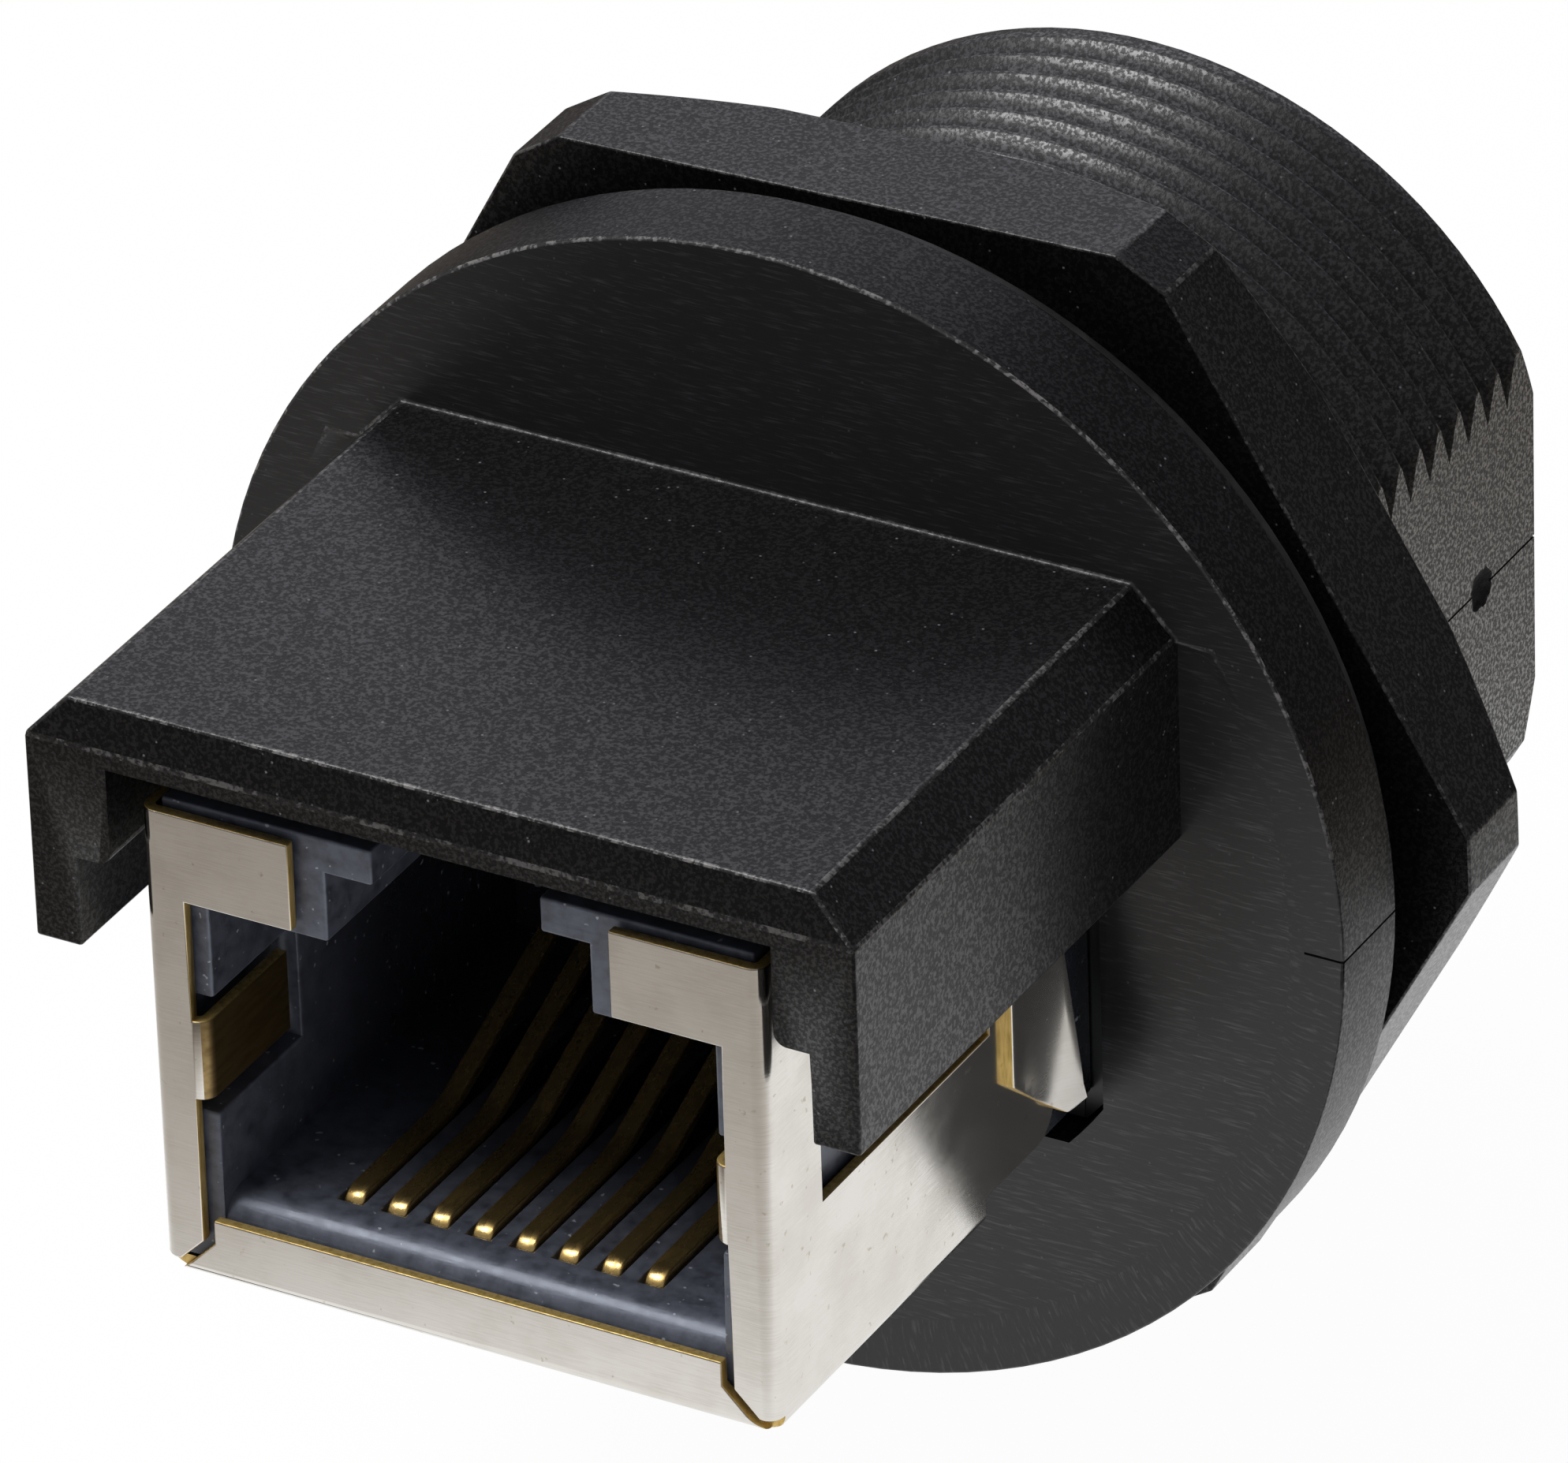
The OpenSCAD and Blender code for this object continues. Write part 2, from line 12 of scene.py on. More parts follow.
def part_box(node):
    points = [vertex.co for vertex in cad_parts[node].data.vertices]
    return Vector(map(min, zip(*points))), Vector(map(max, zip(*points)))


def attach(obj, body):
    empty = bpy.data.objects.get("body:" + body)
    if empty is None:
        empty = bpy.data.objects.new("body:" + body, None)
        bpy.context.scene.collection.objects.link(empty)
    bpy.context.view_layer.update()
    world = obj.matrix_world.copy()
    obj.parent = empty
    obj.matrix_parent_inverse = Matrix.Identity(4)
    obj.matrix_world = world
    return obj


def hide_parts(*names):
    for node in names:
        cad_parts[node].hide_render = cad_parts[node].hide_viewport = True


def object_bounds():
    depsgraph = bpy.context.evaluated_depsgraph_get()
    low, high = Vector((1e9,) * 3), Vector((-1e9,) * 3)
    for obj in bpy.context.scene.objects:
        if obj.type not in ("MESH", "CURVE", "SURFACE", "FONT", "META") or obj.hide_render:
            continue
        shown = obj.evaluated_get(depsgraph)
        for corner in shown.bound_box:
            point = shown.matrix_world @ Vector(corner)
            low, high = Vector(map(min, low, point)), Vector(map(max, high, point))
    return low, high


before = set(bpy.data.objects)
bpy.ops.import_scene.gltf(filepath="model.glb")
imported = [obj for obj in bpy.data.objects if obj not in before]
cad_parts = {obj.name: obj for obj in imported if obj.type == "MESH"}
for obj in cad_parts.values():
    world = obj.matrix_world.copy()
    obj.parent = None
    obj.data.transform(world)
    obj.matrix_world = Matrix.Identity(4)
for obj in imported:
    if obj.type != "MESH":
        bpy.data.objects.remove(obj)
cad_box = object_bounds()

# Spring contacts
# Eight strips of gold-plated phosphor bronze a port, stamped and bent over at the front.
# They are pressed into the insert's slots from behind and spring up against the plug.

MM = 0.001
WELD = 0.002
FLAT_TURN = 0.3
OUTER_TURN = 30
SMOOTH_TURN = 35
ROUND_ROOM = 1.2
PORTS = ("front", "rear")
CONTACT_ROUND = 0.05
GOLD = (0.86, 0.60, 0.23, 1)
GOLD_SHADE = (0.58, 0.38, 0.13, 1)
GOLD_ROUGH = 0.24
TARNISH_ROUGH = 0.2


class Wire:
    """A socket of a node tree. Arithmetic on wires adds Math nodes, and node() adds any other node."""

    def __init__(self, tree, socket=None):
        self.tree = tree
        self.socket = socket

    def node(self, kind, settings=None, sockets=None, out=0):
        made = self.tree.nodes.new(kind)
        for name, value in (settings or {}).items():
            if name == "stops":
                ramp = made.color_ramp
                while len(ramp.elements) < len(value):
                    ramp.elements.new(1)
                for stop, (place, colour) in zip(ramp.elements, value):
                    stop.position = place
                    stop.color = colour
            else:
                setattr(made, name, value)
        for name, value in (sockets or {}).items():
            if isinstance(name, int):
                socket = made.inputs[name]
            else:
                socket = next(s for s in made.inputs if s.name == name and s.enabled)
            if isinstance(value, Wire):
                self.tree.links.new(value.socket, socket)
            else:
                socket.default_value = value
        outputs = [s for s in made.outputs if s.enabled]
        if not outputs:
            return self
        if isinstance(out, str):
            return Wire(self.tree, next(s for s in outputs if s.name == out))
        return Wire(self.tree, outputs[out])

    def math(self, operation, first, second=0.0):
        return self.node("ShaderNodeMath", {"operation": operation}, {0: first, 1: second})

    def __add__(self, other):
        return self.math("ADD", self, other)

    def __radd__(self, other):
        return self.math("ADD", other, self)

    def __sub__(self, other):
        return self.math("SUBTRACT", self, other)

    def __rsub__(self, other):
        return self.math("SUBTRACT", other, self)

    def __mul__(self, other):
        return self.math("MULTIPLY", self, other)

    def __rmul__(self, other):
        return self.math("MULTIPLY", other, self)

    def __truediv__(self, other):
        return self.math("DIVIDE", self, other)

    def __rtruediv__(self, other):
        return self.math("DIVIDE", other, self)


def between(value, start, end):
    """A mask that goes smoothly from 0 at start to 1 at end."""
    return value.node("ShaderNodeMapRange", {"interpolation_type": "SMOOTHSTEP"},
                      {"Value": value, "From Min": start, "From Max": end})


def mixed(mask, low, high):
    """A colour that goes from low to high with the mask."""
    return mask.node("ShaderNodeMix", {"data_type": "RGBA"}, {"Factor": mask, "A": low, "B": high})


def millimetres(pen, stretch=(1, 1, 1)):
    """The surface's own place in millimetres, stretched to draw a pattern out along an axis."""
    place = pen.node("ShaderNodeTexCoord", out="Object")
    return pen.node("ShaderNodeMapping", {}, {"Vector": place, "Scale": [s / MM for s in stretch]})


def clouds(pen, place, waves, detail=3.0, rough=0.5):
    """Even noise with so many waves a millimetre."""
    return pen.node("ShaderNodeTexNoise", {},
                    {"Vector": place, "Scale": waves, "Detail": detail, "Roughness": rough}, out="Fac")


def bumped(height, depth):
    """A surface normal for a relief of so many millimetres."""
    return height.node("ShaderNodeBump", {}, {"Height": height, "Distance": depth * MM})


def new_finish(name):
    """An empty material, and the pen that draws its nodes."""
    material = bpy.data.materials.new(name)
    material.use_nodes = True
    material.node_tree.nodes.clear()
    return material, Wire(material.node_tree)


def surface(pen, sockets):
    """Ends a material in one principled shader with these sockets."""
    shader = pen.node("ShaderNodeBsdfPrincipled", {}, sockets)
    pen.node("ShaderNodeOutputMaterial", {}, {"Surface": shader})


def welded(node):
    """A copy of a CAD node's mesh in millimetres, with its doubles merged and its flat faces whole."""
    bm = bmesh.new()
    bm.from_mesh(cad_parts[node].data)
    bmesh.ops.scale(bm, vec=Vector((1, 1, 1)) / MM, verts=bm.verts)
    bmesh.ops.remove_doubles(bm, verts=bm.verts, dist=WELD)
    bmesh.ops.dissolve_limit(bm, angle_limit=math.radians(FLAT_TURN), verts=bm.verts, edges=bm.edges)
    return bm


def is_outer(edge, turn=OUTER_TURN):
    """True for an outer edge that turns by more than so many degrees."""
    return edge.is_manifold and edge.is_convex and edge.calc_face_angle() > math.radians(turn)


def has_room(edge, width):
    """True where no edge that meets this one is too short for a rounding of this width."""
    meeting = [other for vert in edge.verts for other in vert.link_edges]
    return all(other.calc_length() > width * ROUND_ROOM for other in meeting)


def round_edges(bm, width, picked=is_outer, segments=2):
    """Rounds the picked edges that have room for it, and returns the new faces."""
    edges = [e for e in bm.edges if picked(e) and has_room(e, width)]
    return bmesh.ops.bevel(bm, geom=edges, offset=width, segments=segments, profile=0.5,
                           affect="EDGES", clamp_overlap=False, material=-1)["faces"]


def shown(name, bm, finishes=()):
    """An object at the origin from a solid in millimetres, with its finishes."""
    bmesh.ops.dissolve_degenerate(bm, dist=WELD, edges=bm.edges)
    bmesh.ops.scale(bm, vec=Vector((MM, MM, MM)), verts=bm.verts)
    mesh = bpy.data.meshes.new(name)
    bm.to_mesh(mesh)
    bm.free()
    piece = bpy.data.objects.new(name, mesh)
    bpy.context.scene.collection.objects.link(piece)
    for finish in finishes:
        mesh.materials.append(finish)
    return piece


def smoothed(piece, turn=SMOOTH_TURN):
    """Shades a piece smooth up to the given turn, with flat faces kept flat."""
    piece.data.shade_smooth()
    piece.data.set_sharp_from_angle(angle=math.radians(turn))
    weighted = piece.modifiers.new("even_shading", "WEIGHTED_NORMAL")
    weighted.keep_sharp = True


def applied(piece, modifier):
    """Keeps what a modifier makes as the piece's plain mesh, and removes the modifier."""
    bpy.context.view_layer.update()
    evaluated = piece.evaluated_get(bpy.context.evaluated_depsgraph_get())
    plain = bpy.data.meshes.new_from_object(evaluated)
    piece.modifiers.remove(modifier)
    piece.data = plain


def made_by(tree, piece, inputs):
    """Runs a geometry tree with these inputs on a piece."""
    modifier = piece.modifiers.new(tree.name, "NODES")
    modifier.node_group = tree
    for item in tree.interface.items_tree:
        if item.in_out == "INPUT" and item.name in inputs:
            modifier[item.identifier] = inputs[item.name]
    applied(piece, modifier)


def new_tree(name, inputs):
    """An empty geometry tree with named inputs, its pen, and its inputs by name."""
    tree = bpy.data.node_groups.new(name, "GeometryNodeTree")
    for label, kind in inputs.items():
        tree.interface.new_socket(label, in_out="INPUT", socket_type=kind)
    tree.interface.new_socket("Geometry", in_out="OUTPUT", socket_type="NodeSocketGeometry")
    given = tree.nodes.new("NodeGroupInput")
    return tree, Wire(tree), {label: Wire(tree, given.outputs[label]) for label in inputs}


def end_tree(geometry, finish):
    """Ends a geometry tree with real geometry in one finish."""
    real = geometry.node("GeometryNodeRealizeInstances", {}, {"Geometry": geometry})
    dressed = real.node("GeometryNodeSetMaterial", {}, {"Geometry": real, "Material": finish})
    dressed.node("NodeGroupOutput", {}, {"Geometry": dressed})


gold_plate, pen = new_finish("gold_plate")
strip = clouds(pen, millimetres(pen, stretch=(1, 0.25, 1)), waves=6, detail=4)
tarnish = between(strip, start=0.45, end=0.75)
surface(pen, {"Base Color": mixed(tarnish, GOLD, GOLD_SHADE), "Metallic": 0.94,
              "Roughness": GOLD_ROUGH + tarnish * TARNISH_ROUGH, "Normal": bumped(strip, depth=0.006)})

comb, pen, given = new_tree("contact_comb", {
    "Geometry": "NodeSocketGeometry", "Contacts": "NodeSocketInt", "Pitch": "NodeSocketFloat",
    "Plating": "NodeSocketMaterial"})
step = pen.node("ShaderNodeCombineXYZ", {}, {"X": given["Pitch"]})
places = pen.node("GeometryNodeMeshLine", {"mode": "OFFSET"}, {"Count": given["Contacts"], "Offset": step})
row = pen.node("GeometryNodeInstanceOnPoints", {}, {"Points": places, "Instance": given["Geometry"]})
end_tree(row, given["Plating"])

for port in PORTS:
    names = sorted(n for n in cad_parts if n.startswith(f"{port}_contact_"))
    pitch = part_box(names[1])[0].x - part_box(names[0])[0].x
    strip_bm = welded(names[0])
    round_edges(strip_bm, CONTACT_ROUND)
    contacts = shown(f"{port}_contacts", strip_bm)
    made_by(comb, contacts, {"Contacts": len(names), "Pitch": pitch, "Plating": gold_plate})
    smoothed(contacts)
    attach(contacts, "housing")
    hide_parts(*names)

# Inserts
# Each port's contact carrier, moulded in dark bluish grey plastic with a satin face, dusty toward its mouth
# and darker deep inside as painted shade.
# It holds the contacts in a comb of slots and has the stepped slot for the plug's latch.

INSERT_ROUND = 0.07
SLATE = (0.020, 0.022, 0.030, 1)
SLATE_DUST = (0.125, 0.135, 0.172, 1)
SLATE_LINT = (0.40, 0.42, 0.46, 1)
SLATE_SHEEN = (0.80, 0.87, 1.0, 1)
SLATE_ROUGH = 0.25
DUST_ROUGH = 0.2
PAINTED_SHADE_REACH = (7.5, 13.0)
DUST_LEFT_IN_PAINTED_SHADE = 0.15


def at_least(share, mask):
    """A mask that starts from a share and not from 0."""
    return share + mask * (1 - share)


slate_plastic, pen = new_finish("slate_plastic")
place = millimetres(pen)
mottle = clouds(pen, place, waves=2.6, detail=4, rough=0.6)
from_middle = pen.math("ABSOLUTE", pen.node("ShaderNodeSeparateXYZ", {}, {"Vector": place}, out="Y"))
# Deep inside the port the dust fades out, which is painted shade in the hollow.
dust_and_painted_shade = between(mottle, start=0, end=0.8) * at_least(DUST_LEFT_IN_PAINTED_SHADE, between(from_middle, *PAINTED_SHADE_REACH))
drawn = clouds(pen, millimetres(pen, stretch=(0.12, 1, 1)), waves=8)
lint = between(clouds(pen, place, waves=5.5, detail=1), start=0.72, end=0.78)
tone = mixed(lint, mixed(dust_and_painted_shade, SLATE, SLATE_DUST), SLATE_LINT)
surface(pen, {"Base Color": tone, "Roughness": SLATE_ROUGH + dust_and_painted_shade * DUST_ROUGH,
              "Normal": bumped(drawn + mottle, depth=0.006), "Specular IOR Level": 1.0,
              "Specular Tint": SLATE_SHEEN})

for port in PORTS:
    node = f"{port}_insert"
    insert_bm = welded(node)
    round_edges(insert_bm, INSERT_ROUND)
    insert = shown(f"{port}_carrier", insert_bm, [slate_plastic])
    smoothed(insert)
    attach(insert, "housing")
    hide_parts(node)

# Shields
# Each port's shield is stamped from sheet brass with a satin nickel plating, and folded round the insert.
# Its cut edges are bare brass and its tongues ground the plug. The front one has a leaf on each side.

CUT, BRONZED_FACE = range(1, 3)
SHEET_EDGE = 0.85
CUT_TURN = 60
FOLD_TURN = 50
SHIELD_ROUND = 0.04
TONGUE_X = 5.95
LEAF_STEPS = 12
LEAF_SINK = 0.12
LEAF_CURL = 0.50
LEAF_HELD = 0.35
NICKEL = (0.75, 0.725, 0.685, 1)
NICKEL_DULL = (0.60, 0.565, 0.505, 1)
NICKEL_STAIN = (0.46, 0.39, 0.27, 1)
NICKEL_ROUGH = 0.12
DULL_SHARE = 0.55
DULL_ROUGH = 0.07
STAIN_SHARE = 0.6
STAIN_ROUGH = 0.1
PAINTED_HIGHLIGHT_SHARE = 0.3
SCUFF_ROUGH = 0.28
BRASS = (0.78, 0.56, 0.20, 1)
BRASS_DARK = (0.50, 0.34, 0.09, 1)
BRASS_ROUGH = 0.2
BRONZE = (0.46, 0.33, 0.15, 1)
BRONZE_DARK = (0.30, 0.21, 0.09, 1)

satin_nickel, pen = new_finish("satin_nickel")
place = millimetres(pen)
brushing = clouds(pen, millimetres(pen, stretch=(0.5, 0.5, 9)), waves=3, detail=4, rough=0.6)
patches = clouds(pen, place, waves=0.6, detail=4, rough=0.55)
stains = between(clouds(pen, place, waves=4.2), start=0.66, end=0.76)
dull = between(patches + brushing * 0.5, start=0.55, end=1.0)
tone = mixed(stains * STAIN_SHARE, mixed(dull * DULL_SHARE, NICKEL, NICKEL_DULL), NICKEL_STAIN)
scuffed = pen.node("ShaderNodeAttribute", {"attribute_name": "scuffed"}, out="Fac")
rough = NICKEL_ROUGH + dull * DULL_ROUGH + stains * STAIN_ROUGH + scuffed * SCUFF_ROUGH
# Less metal where the leaf is worn brightens its rear lower corner, a painted highlight.
surface(pen, {"Base Color": tone, "Metallic": 1.0 - scuffed * PAINTED_HIGHLIGHT_SHARE, "Roughness": rough,
              "Normal": bumped(brushing, depth=0.0012)})


def brass_tone(name, tones, stretch, waves, dark, metallic, rough):
    """Brass tones marked along a stretch and darker in the marks: bare brass on cut edges, a painted
    reflection on the tongues.
    """
    material, pen = new_finish(name)
    marks = clouds(pen, millimetres(pen, stretch), waves, detail=4)
    surface(pen, {"Base Color": mixed(between(marks, *dark), *tones), "Metallic": metallic,
                  "Roughness": rough + marks * BRASS_ROUGH, "Normal": bumped(marks, depth=0.003)})
    return material


cut_brass = brass_tone("cut_brass", (BRASS, BRASS_DARK), stretch=(2, 2, 0.3), waves=4,
                       dark=(0.42, 0.72), metallic=0.75, rough=0.34)
# The tongues' inner faces are coloured bronze as a painted reflection.
reflected_bronze = brass_tone("reflected_bronze", (BRONZE, BRONZE_DARK), stretch=(1, 0.2, 1), waves=5,
                          dark=(0.35, 0.7), metallic=0.95, rough=0.36)


def is_cut_edge(face):
    """True for a narrow face with a sharp turn along both its long edges."""
    longest = sorted(face.edges, key=lambda e: e.calc_length())[-2:]
    narrow = face.calc_area() / longest[-1].calc_length() < SHEET_EDGE
    return narrow and all(e.is_manifold and e.calc_face_angle() > math.radians(CUT_TURN) for e in longest)


def is_tongue_face(face):
    """True for the inner face of a tongue, along which the plug slides."""
    middle = face.calc_center_median()
    return face.normal.x * middle.x < -TONGUE_X / 2 and abs(middle.x) < TONGUE_X + SHEET_EDGE / 2


def curl_leaf(bm, side):
    """Turns a ground leaf out toward its rear lower corner, where its face is rougher from wear and less
    metallic as a painted highlight.
    """
    reach = max(v.co.x for v in bm.verts)
    layer = bm.verts.layers.float.get("scuffed") or bm.verts.layers.float.new("scuffed")

    def leaf():
        return [f for f in bm.faces if all(abs(v.co.x * side - reach) < WELD for v in f.verts)]

    corners = {v for f in leaf() for v in f.verts}
    front, rear = (pick(v.co.y for v in corners) for pick in (min, max))
    bottom, top = (pick(v.co.z for v in corners) for pick in (min, max))
    held = top + (bottom - top) * LEAF_HELD
    for way, start, end in ((Vector((0, 1, 0)), front, rear), (Vector((0, 0, 1)), bottom, held)):
        for step in range(1, LEAF_STEPS + 1):
            faces = leaf()
            edges = dict.fromkeys(e for f in faces for e in f.edges)
            verts = dict.fromkeys(v for f in faces for v in f.verts)
            spot = way * (start + (end - start) * step / LEAF_STEPS)
            bmesh.ops.bisect_plane(bm, geom=[*faces, *edges, *verts], plane_co=spot, plane_no=way, dist=WELD)
    for vert in {v for f in leaf() for v in f.verts}:
        along = (vert.co.y - front) / (rear - front)
        down = max(held - vert.co.z, 0) / (held - bottom)
        # The mask grows toward the leaf's rear lower corner, where it also paints a highlight.
        vert[layer] = along * down
        # The curl dips before it turns out, and is whole at the corner.
        curl = LEAF_CURL * along ** 2 * (4 * along - 3) * down
        vert.co.x += side * (curl - LEAF_SINK)


for port in PORTS:
    node = f"{port}_shield"
    shield_bm = welded(node)
    for face in shield_bm.faces:
        if is_cut_edge(face):
            face.material_index = CUT
        elif is_tongue_face(face):
            face.material_index = BRONZED_FACE
    if port == "front":
        for side in (-1, 1):
            curl_leaf(shield_bm, side)
    round_edges(shield_bm, SHIELD_ROUND, lambda e: is_outer(e, FOLD_TURN))
    shield = shown(f"{port}_screen", shield_bm, [satin_nickel, cut_brass, reflected_bronze])
    smoothed(shield, FOLD_TURN)
    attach(shield, "housing")
    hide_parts(node)

# Coupler board
# A glass laminate board with near-black solder mask, as dark as the gap it shows through, that joins the two
# ports contact to contact.
# It lies on a ledge in the flange with both inserts' posts and contacts in its holes.

MASK_BLACK = (0.010, 0.011, 0.011, 1)
MASK_TRACE = (0.022, 0.024, 0.023, 1)

solder_mask, pen = new_finish("solder_mask")
tracks = pen.node("ShaderNodeTexWave", {"bands_direction": "X"},
                  {"Vector": millimetres(pen), "Scale": 0.31, "Distortion": 1.5, "Detail Scale": 0.4},
                  out="Fac")
laid = between(tracks, start=0.55, end=0.65)
surface(pen, {"Base Color": mixed(laid, MASK_BLACK, MASK_TRACE), "Roughness": 0.32,
              "Normal": bumped(laid, depth=0.03)})
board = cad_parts["coupler_board"]
board.data.materials.clear()
board.data.materials.append(solder_mask)

# Moulded body
# Hood, flange and threaded barrel in one moulding of black glass-filled nylon with a matte spark grain.
# The mould parts at the barrel's middle and fills through a gate on one flat. The flange's face is brushed.

BRUSHED, BARREL, RIM, FLAT = range(1, 5)
FACING = 0.9
BODY_ROUND = 0.07
CREST_ROUND = 0.035
CREST_R = 10.315
CREST_SKIN = 0.02
THREAD_REACH = (0.6, 14.5)
FLANGE_T = 2.4
FLAT_X = 9.1
BAND_W = 1.1
RIM_SKIN = 0.026
RECESS_ROOM = 0.24
RECESS_SLOPE = 0.4
GASKET_T = 0.8
BROW_TURN = 5
WORN_HEIGHT = 5.9
WORN_BROW = 0.55
WORN_CREASE = 0.3
WORN_EDGE = 0.36
WORN_RIM = 0.6
WORN_LEAST = 0.11
SEAM_W = 0.06
SEAM_DEPTH = 0.035
GATE_Y = 12.57
GATE_R = 0.8
GATE_DEPTH = 0.17
GATE_RAGGED = 0.07
GATE_WAVES = 7
NYLON = (0.0040, 0.0040, 0.0044, 1)
NYLON_LIGHT = (0.009, 0.009, 0.010, 1)
NYLON_GLINT = (0.16, 0.16, 0.17, 1)
NYLON_CHIP = (0.30, 0.29, 0.28, 1)
NYLON_SHINE = 0.28
NYLON_ROUGH = 0.26
GRAIN_ROUGH = 0.12
BARREL_SHINE = 0.56
BARREL_ROUGH = 0.42
FLAT_SHINE = 0.85
RIM_SHINE = 0.16
BRUSHED_LIGHT = (0.045, 0.045, 0.048, 1)
BRUSHED_SHINE = 0.40
BRUSHED_ROUGH = 0.34
BRUSHED_LEAST = 0.3
BRUSHED_GLINT = 0.4
BRUSH_WAVES = 12
STROKE_ROUGH = 0.16
SPOKE_DRAW = 0.15
COAT_SHARE = 2.3
COAT_ROUGH = 0.28
GLOSS_SHARE = 0.8

body_low, body_high = (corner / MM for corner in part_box("bulkhead_body"))
rim_r = body_high.x


def brush_strokes(pen):
    """Strokes from side to side, and on the band round the recess from the middle to the rim."""
    place = millimetres(pen)
    x, z = (pen.node("ShaderNodeSeparateXYZ", {}, {"Vector": place}, out=axis) for axis in "XZ")
    away = pen.node("ShaderNodeVectorMath", {"operation": "LENGTH"}, {0: place}, out="Value")
    turn = pen.math("ARCTAN2", z, x) * rim_r
    spoke_place = pen.node("ShaderNodeCombineXYZ", {}, {"X": turn, "Y": away * SPOKE_DRAW})
    spokes = clouds(pen, spoke_place, BRUSH_WAVES, rough=0.6)
    rows = clouds(pen, millimetres(pen, stretch=(0.12, 1, 1.8)), BRUSH_WAVES, rough=0.6)
    on_band = between(away, rim_r - BAND_W, rim_r - BAND_W + SEAM_W) * between(z, WORN_HEIGHT, 0)
    return rows + on_band * (spokes - rows)


def nylon_finish(name, brushed=False, shine=NYLON_SHINE, rough=NYLON_ROUGH):
    """Black nylon with a glossy spark grain or brushed, with painted glints, and chipped where worn."""
    material, pen = new_finish(name)
    place = millimetres(pen)
    # Light grey dots in the colour, gathered in patches, are painted glints.
    glint_cells = pen.node("ShaderNodeTexVoronoi", {}, {"Vector": place, "Scale": 3.4}, out="Distance")
    glint_patches = between(clouds(pen, place, waves=1.9, detail=2), start=0.46, end=0.62)
    glints = between(glint_cells, start=0.13, end=0.05) * glint_patches
    if brushed:
        strokes = brush_strokes(pen)
        light = at_least(BRUSHED_LEAST, between(strokes, start=0.50, end=0.80))
        tone = mixed(light, NYLON, BRUSHED_LIGHT)
        glints = glints * BRUSHED_GLINT
        rough = BRUSHED_ROUGH + strokes * STROKE_ROUGH
        relief = bumped(strokes, depth=0.003)
    else:
        grain = clouds(pen, place, waves=11, rough=0.6)
        light = between(grain, start=0.44, end=0.62)
        tone = mixed(light, NYLON, NYLON_LIGHT)
        rough = rough + grain * GRAIN_ROUGH
        relief = bumped(grain, depth=0.012)
    tone = mixed(glints, tone, NYLON_GLINT)
    worn = pen.node("ShaderNodeAttribute", {"attribute_name": "worn"}, out="Fac")
    nicks = clouds(pen, place, waves=7.5, rough=0.6) + clouds(pen, place, waves=0.9, detail=2) * 0.6
    chips = between(nicks, start=0.77, end=0.94)
    tone = mixed(worn * at_least(WORN_LEAST, chips), tone, NYLON_CHIP)
    surface(pen, {"Base Color": tone, "Roughness": rough, "Normal": relief,
                  "Coat Weight": light * (shine * COAT_SHARE), "Coat Roughness": COAT_ROUGH,
                  "Specular IOR Level": shine * GLOSS_SHARE})
    return material


def cut_by(piece, cutter):
    """Takes a cutter's shape out of a piece, and removes the cutter."""
    cut = piece.modifiers.new("cut", "BOOLEAN")
    cut.operation = "DIFFERENCE"
    cut.solver = "EXACT"
    cut.material_mode = "TRANSFER"
    cut.object = cutter
    applied(piece, cut)
    bpy.data.objects.remove(cutter)


def on_crest(edge):
    """True for a long edge of the thread's crests."""
    reach = [math.hypot(v.co.x, v.co.z) for v in edge.verts]
    along = [v.co.y for v in edge.verts]
    return (is_outer(edge) and min(reach) > CREST_R - CREST_SKIN and min(along) > THREAD_REACH[0]
            and max(along) < THREAD_REACH[1] and abs(along[0] - along[1]) < SEAM_W)


def on_outside(edge):
    """True for an edge of the hood or the flange, its brow's crease and its foot, and not of the hollows."""
    front, rear = sorted(v.co.y for v in edge.verts)
    high = min(v.co.z for v in edge.verts) > WORN_HEIGHT
    on_rim = max(math.hypot(v.co.x, v.co.z) for v in edge.verts) > rim_r - BAND_W
    on_crease = high and rear < body_low.y + WELD and is_outer(edge, BROW_TURN)
    on_foot = high and front > -FLANGE_T - WELD and rear < WELD - FLANGE_T
    on_edge = rear < BODY_ROUND and is_outer(edge) and (on_rim or front < SEAM_W - FLANGE_T)
    return on_crease or on_foot or on_edge


def wear(middle):
    """How worn a rounding is by its place, on the upper edges of the hood and of the flange's rim."""
    if math.hypot(middle.x, middle.z) > rim_r - BAND_W / 2:
        height = min(max(middle.z / WORN_HEIGHT, 0), 1)
        return WORN_RIM * height if middle.y < -FLANGE_T / 2 else 0
    if middle.z <= WORN_HEIGHT:
        return 0
    if middle.y < body_low.y + BODY_ROUND or middle.y > -FLANGE_T - BODY_ROUND:
        return WORN_CREASE
    return WORN_BROW if middle.y < body_low.y + BAND_W / 2 else WORN_EDGE


body_bm = welded("bulkhead_body")
for face in body_bm.faces:
    middle = face.calc_center_median()
    reach = math.hypot(middle.x, middle.z)
    level = face.normal.y < -FACING or reach > CREST_R
    if level and abs(middle.y + FLANGE_T) < RECESS_ROOM:
        face.material_index = BRUSHED
    elif middle.y > 0:
        on_flat = abs(face.normal.x) > FACING and abs(middle.x) > FLAT_X - WELD
        face.material_index = FLAT if on_flat else BARREL
    elif reach > rim_r - RIM_SKIN:
        face.material_index = RIM

